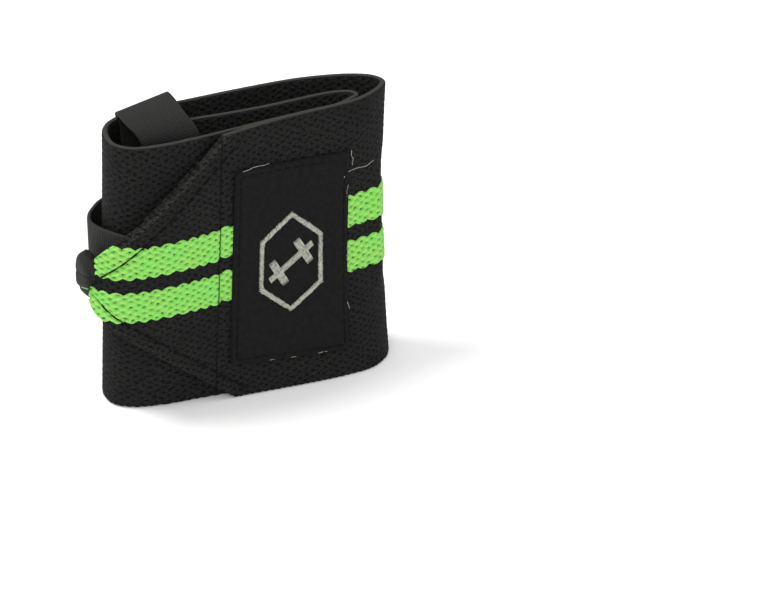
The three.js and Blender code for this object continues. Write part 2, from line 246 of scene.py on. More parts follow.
# The band's wound path, from its tip inwards: shares of the roll's length and depth on the lower and on the
# upper edge, layers further out along X and Y, and height as a share of the width
BAND_ROWS = np.array([
    (-0.031, 0.325, -0.031, 0.325, -0.9, -0.25, 1),
    (-0.024, 0.26, -0.024, 0.26, -0.8, -0.6, 1),
    (0.008, 0.143, 0.008, 0.143, -0.4, -0.9, 1),
    (0.063, 0.09, 0.063, 0.09, 0, -1, 1),
    (0.138, 0.08, 0.138, 0.08, 0, -1, 1),
    (0.225, 0.09, 0.225, 0.1, 0, -1, 1),
    (0.3, 0.1, 0.3, 0.145, 0, -1, 1),
    (0.4, 0.11, 0.4, 0.21, 0, -1, 1),
    (0.525, 0.1, 0.525, 0.295, 0, -1, 1),
    (0.675, 0.087, 0.675, 0.365, 0, -1, 1),
    (0.8, 0.093, 0.8, 0.405, 0, -1, 1),
    (0.882, 0.13, 0.898, 0.47, 0.5, -0.9, 1),
    (0.937, 0.237, 0.978, 0.6, 1, -0.3, 1),
    (0.957, 0.367, 0.998, 0.677, 1, 0, 1),
    (0.946, 0.497, 0.987, 0.747, 1, 0.3, 1),
    (0.915, 0.583, 0.966, 0.795, 0.8, 0.6, 1),
    (0.866, 0.63, 0.917, 0.843, 0.3, 1, 1),
    (0.788, 0.683, 0.828, 0.9, 0, 1, 1),
    (0.675, 0.73, 0.738, 0.923, 0, 1, 1),
    (0.5, 0.79, 0.554, 0.907, 0, 1, 1),
    (0.325, 0.837, 0.388, 0.873, 0, 1, 1),
    (0.15, 0.852, 0.225, 0.875, 0, 0.5, 1),
    (0.069, 0.833, 0.129, 0.847, 0, 0, 1),
    (0.03, 0.717, 0.069, 0.72, 0, 0, 1),
    (0, 0.517, 0.041, 0.517, 0, 0, 1),
    (0.008, 0.34, 0.044, 0.313, 0, 0, 1),
    (0.054, 0.23, 0.088, 0.187, 0, 0, 1),
    (0.156, 0.163, 0.175, 0.15, 0, 0, 1),
    (0.275, 0.147, 0.275, 0.167, 0, 0, 1),
    (0.375, 0.133, 0.375, 0.243, 0, 0, 0.99),
    (0.475, 0.12, 0.475, 0.307, 0, 0, 0.985),
    (0.625, 0.103, 0.625, 0.367, 0, 0, 0.985),
    (0.75, 0.1, 0.75, 0.407, 0, 0, 0.985),
    (0.825, 0.113, 0.825, 0.43, 0, 0, 0.985),
    (0.882, 0.153, 0.88, 0.5, 0, 0, 0.985),
    (0.925, 0.267, 0.915, 0.563, 0, 0, 0.985),
    (0.919, 0.367, 0.905, 0.64, 0, 0, 0.985),
    (0.875, 0.41, 0.863, 0.683, 0, 0, 0.985),
    (0.8, 0.427, 0.8, 0.687, 0, 0, 0.985),
    (0.713, 0.443, 0.725, 0.667, 0, 0, 0.985),
    (0.625, 0.467, 0.631, 0.64, 0, 0, 0.985),
    (0.538, 0.5, 0.544, 0.627, 0, 0, 0.985),
    (0.438, 0.54, 0.45, 0.623, 0, 0, 0.985),
    (0.338, 0.567, 0.35, 0.633, 0, 0, 0.985),
    (0.188, 0.55, 0.2, 0.617, 0, 0, 0.985),
])

# The strap's path in plan, in the same shares
STRAP_ROWS = np.array([
    (0.119, 0.103),
    (0.056, 0.113),
    (0.012, 0.263),
    (-0.015, 0.403),
    (-0.025, 0.54),
    (-0.009, 0.68),
    (0.016, 0.78),
    (0.056, 0.897),
    (0.113, 0.967),
    (0.2, 1.007),
    (0.325, 1.02),
])

# The thumb loop's path: share of the depth, height as a share of the rise or drop, closeness to the band, its
# side, share of the lean
LOOP_ROWS = np.array([
    (0.53, -1, 1, -1, 0),
    (0.53, -0.79, 1, -1, 0),
    (0.53, -0.72, 1, -1, 0),
    (0.43, -0.4, 0, -1, 0),
    (0.305, -0.15, 0, -1, 0),
    (0.29, -0.03, 0, -1, 0.08),
    (0.345, 0.35, 0, -1, 0.4),
    (0.45, 0.75, 0, -1, 0.8),
    (0.58, 1, 0, 1, 1),
    (0.71, 0.75, 0, 1, 1),
    (0.715, -0.01, 0, 1, 0.6),
    (0.71, -0.16, 0, 1, 0.5),
    (0.69, -0.45, 0, 1, 0.3),
    (0.64, -0.72, 1, 1, 0),
    (0.64, -0.79, 1, 1, 0),
    (0.64, -1, 1, 1, 0),
])


def smoothstep(value, low, high):
    share = np.clip((np.asarray(value, float) - low) / (high - low), 0, 1)
    return share * share * (3 - 2 * share)


def mix(first, second, share):
    return first + (second - first) * share


def groove(value, centre, width):
    """1 at the centre, falling to nothing on both sides."""
    return np.exp(-(((value - centre) / width) ** 2))


def hermite(before, start, end, after, weight):
    """A centripetal Catmull-Rom stretch between start and end. Every point may be an array of points."""
    spans = [np.linalg.norm(b - a, axis=-1, keepdims=True) ** 0.5 for a, b in
             ((before, start), (start, end), (end, after))]
    first, middle, last = (np.maximum(span, 1e-4) for span in spans)
    leaving = (start - before) / first - (end - before) / (first + middle) + (end - start) / middle
    arriving = (end - start) / middle - (after - start) / (middle + last) + (after - end) / last
    leaving, arriving = leaving * middle, arriving * middle
    square = -3 * start + 3 * end - 2 * leaving - arriving
    cube = 2 * start - 2 * end + leaving + arriving
    return start + leaving * weight + square * weight**2 + cube * weight**3


def curve_points(points, share):
    """Points at shares of a smooth curve through rows of points. The rows run along the first axis."""
    padded = np.concatenate([[2 * points[0] - points[1]], points, [2 * points[-1] - points[-2]]])
    place = np.clip(share, 0, 1) * (len(points) - 1)
    index = np.minimum(place.astype(int), len(points) - 2)
    weight = (place - index).reshape((-1,) + (1,) * (points.ndim - 1))
    return hermite(padded[index], padded[index + 1], padded[index + 2], padded[index + 3], weight)


def place_in_plan(shares):
    return (np.asarray(shares, float) - 0.5) * (ROLL_LENGTH, ROLL_DEPTH)


LAYERS = BAND_ROWS[:, 4:6] * LAYER_STEP
LOW_ROWS = place_in_plan(BAND_ROWS[:, 0:2]) + LAYERS
TOP_ROWS = place_in_plan(BAND_ROWS[:, 2:4]) + LAYERS
PATH_SAMPLES = 4001
PATH_SHARES = np.linspace(0, 1, PATH_SAMPLES)
PATH_STEPS = np.diff(curve_points((LOW_ROWS + TOP_ROWS) / 2, PATH_SHARES), axis=0)
PATH_LENGTHS = np.concatenate([[0], np.cumsum(np.hypot(*PATH_STEPS.T))])
BAND_LENGTH = PATH_LENGTHS[-1]


def band_centre(share, height):
    """The middle of the band's thickness in plan, at shares of its path and heights."""
    low, top = curve_points(LOW_ROWS, share), curve_points(TOP_ROWS, share)
    place = mix(low, top, (height / BAND_WIDTH)[:, None])
    length_share = np.clip(place[:, 0] / ROLL_LENGTH + 0.5, 0, 1)
    place[:, 0] -= WAIST * length_share**2 * np.sin(np.pi * height / BAND_WIDTH)
    return place


def band_point(distance, height, stand_off):
    """Places on or off the band, from the distance along it, the height and how far out they stand."""
    distance, height, stand_off = np.broadcast_arrays(*map(np.asarray, (distance, height, stand_off)))
    shape = distance.shape
    distance, height, stand_off = (a.astype(float).ravel() for a in (distance, height, stand_off))
    share = np.interp(distance, PATH_LENGTHS, PATH_SHARES)
    nudge = 0.0005
    after = band_centre(np.minimum(share + nudge, 1), height)
    before = band_centre(np.maximum(share - nudge, 0), height)
    along = after - before
    along /= np.linalg.norm(along, axis=1, keepdims=True)
    plan = band_centre(share, height) + np.stack([along[:, 1], -along[:, 0]], 1) * stand_off[:, None]
    return np.column_stack([plan, height]).reshape(shape + (3,))


def band_crest(distance):
    rows = np.interp(distance, PATH_LENGTHS, PATH_SHARES) * (len(BAND_ROWS) - 1)
    return BAND_WIDTH * np.interp(rows, np.arange(len(BAND_ROWS)), BAND_ROWS[:, 6])


def lower_edge(distance):
    return np.maximum(0, BAND_WIDTH / 2 - TIP_HALF_HEIGHT - distance * POINT_SLOPE)


def tip_puff(distance):
    """How far the thick fold swells the upper edge beside the tip."""
    return TIP_PUFF * groove(distance, TIP_PUFF_PLACE, TIP_PUFF_WIDTH)


def upper_edge(distance):
    slanting = BAND_WIDTH / 2 + TIP_HALF_HEIGHT + distance * POINT_SLOPE + tip_puff(distance)
    return np.minimum(band_crest(distance), slanting)


def patch_point(across, up, stand_off):
    """Places on the turned patch, from its middle."""
    turned_across = across * math.cos(PATCH_TURN) - up * math.sin(PATCH_TURN)
    turned_up = across * math.sin(PATCH_TURN) + up * math.cos(PATCH_TURN)
    return band_point(PATCH_DISTANCE + turned_across, BAND_WIDTH / 2 - PATCH_DROP + turned_up, stand_off)


def frame_shift():
    """What moves the roll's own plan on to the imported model's, from where the band stands in the frame."""
    beyond_point = np.linspace(POINT_LENGTH + 5, BAND_LENGTH, 600)
    heights = [0.0, 20, 38, 56, 74.8]
    distance, height = np.meshgrid(beyond_point, heights, indexing="ij")
    faces = [band_point(distance, height, side * BAND_FACE).reshape(-1, 3) for side in (-1, 1)]
    highest = np.concatenate(faces).max(0)
    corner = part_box("elastic_band")[1]
    return np.array([corner.x / MM - highest[0], corner.y / MM - highest[1], 0])


SHIFT = frame_shift()


def knit_wave(along, across):
    """The knit's hills (1) and hollows (-1), in rows that are staggered by half a stitch."""
    return -np.cos(2 * np.pi * along / STITCH_ALONG) * np.cos(2 * np.pi * across / STITCH_ACROSS)


def knit_pits(along, across, radius):
    """Up to 1 at the small holes of the knit, which differ in depth, and 0 away from them."""
    depth = 0
    for offset in (0, 0.5):
        column, from_column = np.divmod(along / STITCH_ALONG + offset, 1)
        row, from_row = np.divmod(across / STITCH_ACROSS + offset, 1)
        du, dv = (from_column - 0.5) * STITCH_ALONG, (from_row - 0.5) * STITCH_ACROSS
        uneven = 0.72 + 0.28 * np.sin(12.9 * column + 78.2 * row + 5 * offset)
        depth = np.maximum(depth, uneven * np.exp(-(du**2 + (1.25 * dv) ** 2) / radius**2))
    return depth


def strayed(along, across):
    """The knit's own coordinates, which stray a little from straight rows and columns."""
    waves = [np.sin(first * along + second * across) for first, second, _, _ in STRAY_WAVES]
    moved_along = along + sum(wave * row[2] for wave, row in zip(waves, STRAY_WAVES))
    moved_across = across + sum(wave * row[3] for wave, row in zip(waves, STRAY_WAVES))
    return moved_along, moved_across


def slow_waves(along, across, seed):
    """Soft uneven waves of the cloth, from a few sines with seeded phases."""
    phases = np.random.default_rng(seed).uniform(0, 2 * np.pi, (5, 2))
    total = 0
    for order, (first, second) in enumerate(phases):
        total = total + np.sin(along / (9.0 - order) + first) * np.sin(across / (11.0 - 1.4 * order) + second)
    return total / 3


def loft(name, rings, coordinates, material, nodes):
    """A closed body from rings of points, with its ends capped and its cloth coordinates in millimetres."""
    stations, ring = rings.shape[:2]
    vertices = (rings.reshape(-1, 3) + SHIFT) * MM
    index = np.arange(stations * ring).reshape(stations, ring)
    turned = np.roll(index, -1, axis=1)
    quads = np.stack([index[:-1], turned[:-1], turned[1:], index[1:]], -1).reshape(-1, 4)
    faces = quads.tolist() + [index[0][::-1].tolist(), index[-1].tolist()]
    return mesh_object(name, vertices, faces, coordinates.reshape(-1, 2), material, nodes)


def mesh_object(name, vertices, faces, coordinates, material, nodes):
    """A piece that rides on the root body, with its cloth coordinates in a UV map."""
    mesh = bpy.data.meshes.new(name)
    mesh.from_pydata(np.asarray(vertices).tolist(), [], faces)
    layer = mesh.uv_layers.new(name="cloth")
    corners = np.zeros(len(mesh.loops), int)
    mesh.loops.foreach_get("vertex_index", corners)
    layer.data.foreach_set("uv", np.asarray(coordinates, float)[corners].ravel())
    mesh.polygons.foreach_set("use_smooth", [True] * len(mesh.polygons))
    mesh.materials.append(material)
    mesh.update()
    piece = bpy.data.objects.new(name, mesh)
    bpy.context.scene.collection.objects.link(piece)
    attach(piece, "root")
    if nodes:
        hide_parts(*nodes)
    return piece


def section(low, high, half, outer_steps, inner_steps, arc_steps=6):
    """A flat section with round edges, between low and high. Its stand-offs count half thicknesses."""
    quarter = np.linspace(0, np.pi / 2, arc_steps + 1)[1:]
    face = np.linspace(0, 1, outer_steps + 1)
    back = np.linspace(1, 0, inner_steps + 1)
    share = np.concatenate([face, np.ones(2 * arc_steps), back[1:], np.zeros(2 * arc_steps - 1)])
    angle = np.concatenate([
        np.zeros(outer_steps + 1), quarter, quarter + np.pi / 2,
        np.full(inner_steps, np.pi), quarter + np.pi, quarter[:-1] + 1.5 * np.pi,
    ])
    room = np.maximum(high - low - 2 * half, 0)[:, None]
    heights = low[:, None] + half + share * room + half * np.sin(angle)
    return heights, np.broadcast_to(np.cos(angle), heights.shape)


# Materials

def linear(red, green, blue):
    """A colour as it looks on the screen, in 0 to 255, as linear light."""
    values = [v / 255 for v in (red, green, blue)]
    return [v / 12.92 if v <= 0.04045 else ((v + 0.055) / 1.055) ** 2.4 for v in values] + [1.0]


class Graph:
    """Builds one material's nodes by short calls."""

    def __init__(self, name, roughness, specular):
        self.material = bpy.data.materials.new(name)
        self.material.use_nodes = True
        self.tree = self.material.node_tree
        self.shader = self.tree.nodes["Principled BSDF"]
        self.shader.inputs["Roughness"].default_value = roughness
        self.shader.inputs["Specular IOR Level"].default_value = specular
        cloth = self.tree.nodes.new("ShaderNodeUVMap")
        cloth.uv_map = "cloth"
        parts = self.tree.nodes.new("ShaderNodeSeparateXYZ")
        self.tree.links.new(cloth.outputs["UV"], parts.inputs[0])
        self.coordinates = cloth.outputs["UV"]
        self.along, self.across = parts.outputs[0], parts.outputs[1]

    def put(self, socket, value):
        if isinstance(value, bpy.types.NodeSocket):
            self.tree.links.new(value, socket)
        else:
            socket.default_value = value

    def math(self, operation, first, second=0.0):
        node = self.tree.nodes.new("ShaderNodeMath")
        node.operation = operation
        self.put(node.inputs[0], first)
        self.put(node.inputs[1], second)
        return node.outputs[0]

    def ramp(self, value, low, high):
        node = self.tree.nodes.new("ShaderNodeMapRange")
        node.interpolation_type = "SMOOTHSTEP"
        self.put(node.inputs["Value"], value)
        node.inputs["From Min"].default_value = low
        node.inputs["From Max"].default_value = high
        return node.outputs["Result"]

    def wave(self, value, pitch, shift=0.0):
        turns = self.math("MULTIPLY_ADD", value, 2 * math.pi / pitch)
        turns.node.inputs[2].default_value = shift
        return self.math("COSINE", turns)

    def noise(self, scale, detail=3.0, stretch=(1, 1, 1)):
        mapping = self.tree.nodes.new("ShaderNodeMapping")
        mapping.inputs["Scale"].default_value = stretch
        node = self.tree.nodes.new("ShaderNodeTexNoise")
        node.inputs["Scale"].default_value = scale
        node.inputs["Detail"].default_value = detail
        self.tree.links.new(self.coordinates, mapping.inputs["Vector"])
        self.tree.links.new(mapping.outputs[0], node.inputs["Vector"])
        return node.outputs["Fac"]

    def blend(self, share, first, second):
        node = self.tree.nodes.new("ShaderNodeMix")
        node.data_type = "RGBA"
        self.put(node.inputs["Factor"], share)
        self.put(node.inputs[6], first)
        self.put(node.inputs[7], second)
        return node.outputs[2]

    def finish(self, colour, height=None, depth=0.2):
        self.put(self.shader.inputs["Base Color"], colour)
        if height is not None:
            bump = self.tree.nodes.new("ShaderNodeBump")
            bump.inputs["Strength"].default_value = 1.0
            bump.inputs["Distance"].default_value = depth * MM
            self.put(bump.inputs["Height"], height)
            self.tree.links.new(bump.outputs[0], self.shader.inputs["Normal"])
        return self.material


def knit_nodes(graph, along, across):
    """Hills and holes of the knit as node values, both from 0 to 1."""
    hills = graph.math("MULTIPLY", graph.wave(along, STITCH_ALONG), graph.wave(across, STITCH_ACROSS))
    hills = graph.math("MULTIPLY_ADD", hills, -0.5)
    hills.node.inputs[2].default_value = 0.5
    holes = graph.ramp(hills, 0.22, 0.02)
    return hills, holes


def inside_nodes(graph):
    """How far a place lies inside the point's slanting edges, and 1 on the upper half of the band."""
    slant = math.cos(math.atan(POINT_SLOPE))
    from_middle = graph.math("SUBTRACT", graph.across, BAND_WIDTH / 2)
    upper = graph.math("GREATER_THAN", from_middle, 0.0)
    inside = graph.math("MULTIPLY", graph.along, POINT_SLOPE * slant)
    off_middle = graph.math("MULTIPLY", graph.math("ABSOLUTE", from_middle), slant)
    inside = graph.math("SUBTRACT", inside, off_middle)
    return graph.math("ADD", inside, TIP_HALF_HEIGHT * slant), upper


def seam_nodes(graph):
    """1 along the pressed seam beside the patch."""
    up = graph.math("SUBTRACT", graph.across, BAND_WIDTH / 2 - PATCH_DROP)
    seam = graph.math("MULTIPLY_ADD", up, math.sin(PATCH_TURN))
    graph.put(seam.node.inputs[2], graph.along)
    seam = graph.math("SUBTRACT", seam, PATCH_DISTANCE - PATCH_WIDTH / 2 - SEAM_INSET)
    return graph.ramp(graph.math("ABSOLUTE", seam), 0.34, 0.1)


def topstitch_nodes(graph):
    """1 along the topstitches of the slanting edges."""
    inside, upper = inside_nodes(graph)
    inset = graph.math("MULTIPLY_ADD", upper, TOPSTITCH_INSET_UPPER - TOPSTITCH_INSET_LOWER)
    inset.node.inputs[2].default_value = TOPSTITCH_INSET_LOWER
    return graph.ramp(graph.math("ABSOLUTE", graph.math("SUBTRACT", inside, inset)), 0.36, 0.08)


def strayed_nodes(graph):
    """The same strayed coordinates as node values."""
    along, across = graph.along, graph.across
    for first, second, reach_along, reach_across in STRAY_WAVES:
        turns = graph.math("MULTIPLY", graph.along, first)
        turns = graph.math("ADD", turns, graph.math("MULTIPLY", graph.across, second))
        wave = graph.math("SINE", turns)
        along = graph.math("ADD", along, graph.math("MULTIPLY", wave, reach_along))
        across = graph.math("ADD", across, graph.math("MULTIPLY", wave, reach_across))
    return along, across


def wandering(graph, value, noise, reach):
    """A coordinate that strays by up to half of a reach, as loose yarn does."""
    moved = graph.math("MULTIPLY_ADD", noise, reach)
    graph.put(moved.node.inputs[2], value)
    return moved


def knit_material():
    """Black knit: fuzzy yarn, painted shade in the holes, fading in patches, and along the sunk seams,
    painted highlight flecks along the slanting edges and a grey painted highlight on the upper selvedge.
    """
    graph = Graph("black_knit", 0.85, specular=0.1)
    along, across = strayed_nodes(graph)
    along = wandering(graph, along, graph.noise(0.9, 4), 1.5)
    across = wandering(graph, across, graph.noise(1.1, 4, (1, 1.2, 1)), 0.8)
    hills, holes = knit_nodes(graph, along, across)
    fuzz = graph.noise(1.5, 8, (1, 1.3, 1))
    clear = graph.ramp(graph.noise(0.3, 3), 0.3, 0.6)
    colour = graph.blend(graph.ramp(fuzz, 0.32, 0.72), linear(*KNIT_DARK), linear(*KNIT_LIGHT))
    colour = graph.blend(graph.ramp(graph.noise(0.07, 3), 0.4, 0.9), colour, linear(*KNIT_WORN))
    inside, upper = inside_nodes(graph)
    # Painted highlight: pale flecks along the folded slanting edges, weaker on the lower edge
    loops = graph.ramp(graph.math("ABSOLUTE", graph.math("SUBTRACT", inside, 0.9)), 1.0, 0.3)
    loops = graph.math("MULTIPLY", loops, graph.ramp(fuzz, 0.36, 0.66))
    loops = graph.math("MULTIPLY", loops, graph.ramp(upper, -0.5, 1.0))
    colour = graph.blend(graph.math("MULTIPLY", loops, 0.5), colour, linear(*KNIT_EDGE_HIGHLIGHT))
    # Painted shade in the knit's holes, fainter in random patches
    shade = graph.math("MULTIPLY", graph.ramp(hills, 0.42, 0.05), graph.ramp(clear, -1.4, 1.0))
    colour = graph.blend(shade, colour, linear(*KNIT_HOLE_SHADE))
    # Painted shade along the sunk seam and the sunk topstitch line
    colour = graph.blend(graph.math("MULTIPLY", seam_nodes(graph), 0.7), colour, linear(*KNIT_SEAM_SHADE))
    colour = graph.blend(graph.math("MULTIPLY", topstitch_nodes(graph), 0.3), colour, linear(*KNIT_SEAM_SHADE))
    # Painted highlight: the upper selvedge is paler where it catches the light from above
    rim = graph.ramp(graph.across, BAND_WIDTH - 0.42, BAND_WIDTH - 0.2)
    colour = graph.blend(rim, colour, linear(*SELVEDGE_HIGHLIGHT))
    height = graph.math("ADD", graph.math("MULTIPLY", fuzz, 0.8), graph.math("SUBTRACT", hills, holes))
    height = graph.math("MULTIPLY", height, graph.math("SUBTRACT", 1.0, rim))
    return graph.finish(colour, height, 0.24)


def stripe_material():
    """Bright yarn, with painted shade in the holes, the valleys and the sewn lines, and painted light on the
    hills.
    """
    graph = Graph("bright_yarn", 0.8, specular=0.1)
    hills, holes = knit_nodes(graph, *strayed_nodes(graph))
    fuzz = graph.noise(2.2, 5)
    broad = graph.noise(0.16, 3)
    strands = graph.wave(graph.along, STITCH_ALONG / 2)
    # Painted shade in the valleys and painted light on the hills of the knit
    colour = graph.blend(hills, linear(*YARN_SHADED_VALLEY), linear(*YARN_LIT_HILL))
    tints = [
        (graph.ramp(fuzz, 0.4, 0.75), 0.4, YARN_FUZZ),
        (graph.ramp(strands, 0.75, 1.0), 0.25, YARN_STRAND),
        (graph.ramp(broad, 0.35, 0.7), 0.35, YARN_COOL),
    ]
    for where, strength, tint in tints:
        colour = graph.blend(graph.math("MULTIPLY", where, strength), colour, linear(*tint))
    # Painted shade in the holes, deeper in random patches
    depth = graph.math("MULTIPLY", graph.ramp(graph.noise(0.5, 2), 0.2, 0.6), 0.8)
    colour = graph.blend(graph.math("MULTIPLY", holes, depth), colour, linear(*YARN_HOLE_SHADE))
    # Painted shade in the sunk seam and stitch lines
    sewn = graph.math("MAXIMUM", seam_nodes(graph), topstitch_nodes(graph))
    colour = graph.blend(graph.math("MULTIPLY", sewn, 0.85), colour, linear(*YARN_SEAM_SHADE))
    return graph.finish(colour, fuzz, 0.15)


def patch_material():
    """A tight plain weave with faint clouds."""
    graph = Graph("patch_cloth", 0.9, specular=0.12)
    weave = graph.math("MULTIPLY", graph.wave(graph.along, 0.42), graph.wave(graph.across, 0.42))
    cloud = graph.noise(0.6, 6)
    colour = graph.blend(graph.ramp(cloud, 0.3, 0.7), linear(*PATCH_DARK), linear(*PATCH_LIGHT))
    return graph.finish(colour, weave, 0.04)


def ribbon_material(name, dark, light, foot=None):
    """Ribbed webbing with a slight shine, between a painted shade in its valleys and a painted light on its
    ribs.

    foot is the stretch along the ribbon over which it comes up from a painted shade, in its valleys' dark
    tone, to its own tones.
    """
    graph = Graph(name, 0.6, specular=0.2)
    ribs = graph.wave(graph.along, RIB_PITCH)
    cloud = graph.noise(0.9, 6, (1, 0.5, 1))
    # Painted shade in the rib valleys and painted light on the ribs
    valley, rib = linear(dark, dark, dark), linear(light, light, light - 3)
    colour = graph.blend(graph.ramp(ribs, -1, 1), valley, rib)
    middle = (dark + light) / 2
    colour = graph.blend(graph.ramp(cloud, 0.35, 0.85), colour, linear(middle, middle, middle - 1))
    # Painted shade: the loop darkens towards its foot
    if foot:
        colour = graph.blend(graph.ramp(graph.along, *foot), valley, colour)
    fibres = graph.math("MULTIPLY", graph.wave(graph.across, 0.4), graph.math("ABSOLUTE", ribs))
    return graph.finish(colour, fibres, 0.05)


def thread_material(name, colour, roughness):
    """Plain thread, a little uneven along its length."""
    graph = Graph(name, roughness, specular=0.6 * (1 - roughness))
    cloud = graph.noise(2.0, 3)
    dark = [c * 0.45 for c in colour[:3]] + [1.0]
    return graph.finish(graph.blend(graph.ramp(cloud, 0.35, 0.6), dark, colour))


# Pieces

def edge_distance(distance, height):
    """How far a place on the pointed end is inside its slanting edges, or a large number beyond the point."""
    slant = math.cos(math.atan(POINT_SLOPE))
    inside = (TIP_HALF_HEIGHT + distance * POINT_SLOPE - np.abs(height - BAND_WIDTH / 2)) * slant
    return np.where(distance < POINT_LENGTH + 4, inside, 99.0)


def topstitch_groove(distance, height, width):
    """The sunk line of stitches inside the slanting edges."""
    inset = np.where(height > BAND_WIDTH / 2, TOPSTITCH_INSET_UPPER, TOPSTITCH_INSET_LOWER)
    return groove(edge_distance(distance, height), inset, width)


def seam_groove(distance, height):
    """The pressed seam beside the patch."""
    up = height - (BAND_WIDTH / 2 - PATCH_DROP)
    across = distance - PATCH_DISTANCE - up * math.sin(-PATCH_TURN)
    return groove(across, -PATCH_WIDTH / 2 - SEAM_INSET, SEAM_WIDTH)


def fold_press(distance, height):
    """How far the right fold stands out of its round course at the stripes, where it is pressed sharper."""
    beside = np.abs(height - BAND_WIDTH / 2 - STRIPE_RAISE) - STRIPE_WIDTH
    moved = sum(reach * groove(distance, place, width) for reach, place, width in FOLD_PRESSES)
    return moved * (1 - smoothstep(beside, 0.0, FOLD_PRESS_FADE))


def cloth_relief(distance, height):
    """Creases and soft waves of the band's outer face."""
    relief = CLOTH_WAVES * slow_waves(distance, height, 3)
    relief = relief - TOPSTITCH_DEPTH * topstitch_groove(distance, height, TOPSTITCH_WIDTH)
    return relief - SEAM_DEPTH * seam_groove(distance, height)


def make_band(material):
    seen_length = 200
    seen, unseen = np.linspace(0, seen_length, 340), np.linspace(seen_length, BAND_LENGTH, 121)
    stations = np.concatenate([seen, unseen[1:]])
    knobs = EDGE_KNOBS * (0.5 + 0.5 * np.sin(2 * np.pi * strayed(stations, 0.0)[0] / (STITCH_ALONG / 2)))
    heights, offsets = section(lower_edge(stations) + knobs, upper_edge(stations), BAND_FACE, 108, 30)
    distance = np.broadcast_to(stations[:, None], heights.shape)
    face = smoothstep(offsets, 0.2, 0.9)
    relief = KNIT_RELIEF * knit_wave(*strayed(distance, heights)) + cloth_relief(distance, heights)
    relief = relief * face + fold_press(distance, heights)
    rings = band_point(distance, heights, offsets * BAND_FACE + relief)
    across = heights / (band_crest(distance) / BAND_WIDTH)
    coordinates = np.stack([distance, across], -1)
    return loft("band", rings, coordinates, material, ["elastic_band"])


def make_stripe(name, node, side, material):
    centre = BAND_WIDTH / 2 + STRIPE_RAISE + side * (STRIPE_WIDTH + STRIPE_SPACING) / 2
    start = UPPER_STRIPE_START if side > 0 else LOWER_STRIPE_START
    stations = np.arange(start, BAND_LENGTH - STRIPE_END_INSET, STRIPE_STEP)
    seam = PATCH_DISTANCE - PATCH_WIDTH / 2 - SEAM_INSET
    centre = centre + SEAM_STEP * smoothstep(stations, seam - 0.15, seam + 0.15)
    puff = tip_puff(stations) * (side > 0)
    strayed_stations = strayed(stations, BAND_WIDTH / 2)[0]
    scallop = SCALLOP_DEPTH * np.abs(np.sin(np.pi * strayed_stations / STITCH_ALONG)) - SCALLOP_INSET
    low, high = centre - STRIPE_WIDTH / 2 - scallop, centre + STRIPE_WIDTH / 2 + scallop + puff
    low = np.clip(low, lower_edge(stations) + STRIPE_LEDGE, upper_edge(stations) - 1.5)
    high = np.clip(high, low + 1.0, upper_edge(stations) - STRIPE_LEDGE)
    heights, offsets = section(low, high, STRIPE_HALF, 36, 3, 3)
    distance = np.broadcast_to(stations[:, None], heights.shape)
    face = smoothstep(offsets, 0.0, 0.9)
    along, across = strayed(distance, heights)
    relief = STRIPE_RELIEF * knit_wave(along, across) - PIT_DEPTH * knit_pits(along, across, PIT_RADIUS)
    relief = relief + cloth_relief(distance, heights)
    relief = relief - CREASE_DEPTH * topstitch_groove(distance, heights, CREASE_WIDTH)
    stand_off = BAND_FACE + STRIPE_LIFT + STRIPE_REACH * offsets + relief * face
    rings = band_point(distance, heights, stand_off + fold_press(distance, heights))
    coordinates = np.stack([distance, heights], -1)
    return loft(name, rings, coordinates, material, [node])


def make_corner_fold(name, node, side, material):
    stations = np.linspace(HEM_START, HEM_END, 40)
    edge = BAND_WIDTH / 2 + side * (TIP_HALF_HEIGHT + stations * POINT_SLOPE)
    near, far = edge - side * SEWN_GAP, edge - side * HEM_WIDTH
    low, high = np.minimum(near, far), np.maximum(near, far)
    heights, offsets = section(low, high, HEM_THICKNESS / 2, 12, 12, 4)
    distance = np.broadcast_to(stations[:, None], heights.shape)
    middle = -BAND_FACE - 0.1 - HEM_THICKNESS / 2
    rings = band_point(distance, heights, middle + offsets * HEM_THICKNESS / 2)
    return loft(name, rings, np.stack([distance, heights], -1), material, [node])


def make_patch(material):
    across = np.linspace(-PATCH_WIDTH / 2, PATCH_WIDTH / 2, 110)
    into_corner = np.maximum(np.abs(across) - PATCH_WIDTH / 2 + PATCH_CORNER, 0)
    half_height = PATCH_HEIGHT / 2 - PATCH_CORNER + np.sqrt(np.maximum(PATCH_CORNER**2 - into_corner**2, 0))
    half = (PATCH_OUTER - PATCH_INNER) / 2
    up, offsets = section(-half_height, half_height, half, 160, 8, 5)
    sideways = np.broadcast_to(across[:, None], up.shape)
    to_side = PATCH_WIDTH / 2 - np.abs(sideways)
    to_end = PATCH_HEIGHT / 2 - np.abs(up)
    inside = np.minimum(to_side, to_end)
    run = np.where(to_side < to_end, up, sideways)
    face = smoothstep(offsets, 0, 0.9)
    pulled = 0.65 + 0.35 * np.cos(2 * np.pi * run / PATCH_STITCH)
    relief = PATCH_WAVES * slow_waves(sideways * 1.6, up * 1.6, 8)
    relief = relief - PATCH_HEM_DEPTH * pulled * groove(inside, PATCH_HEM, PATCH_HEM_WIDTH)
    relief = relief - PATCH_EDGE_DROP * smoothstep(inside, PATCH_EDGE, 0)
    thin = np.sqrt(np.clip(to_side / 0.6, 0.02, 1))
    stand_off = mix(PATCH_INNER, PATCH_OUTER, 0.5) + offsets * half * thin + relief * face
    rings = patch_point(sideways, up, stand_off)
    coordinates = np.stack([sideways, up], -1)
    return loft("patch", rings, coordinates, material, ["label_patch"])


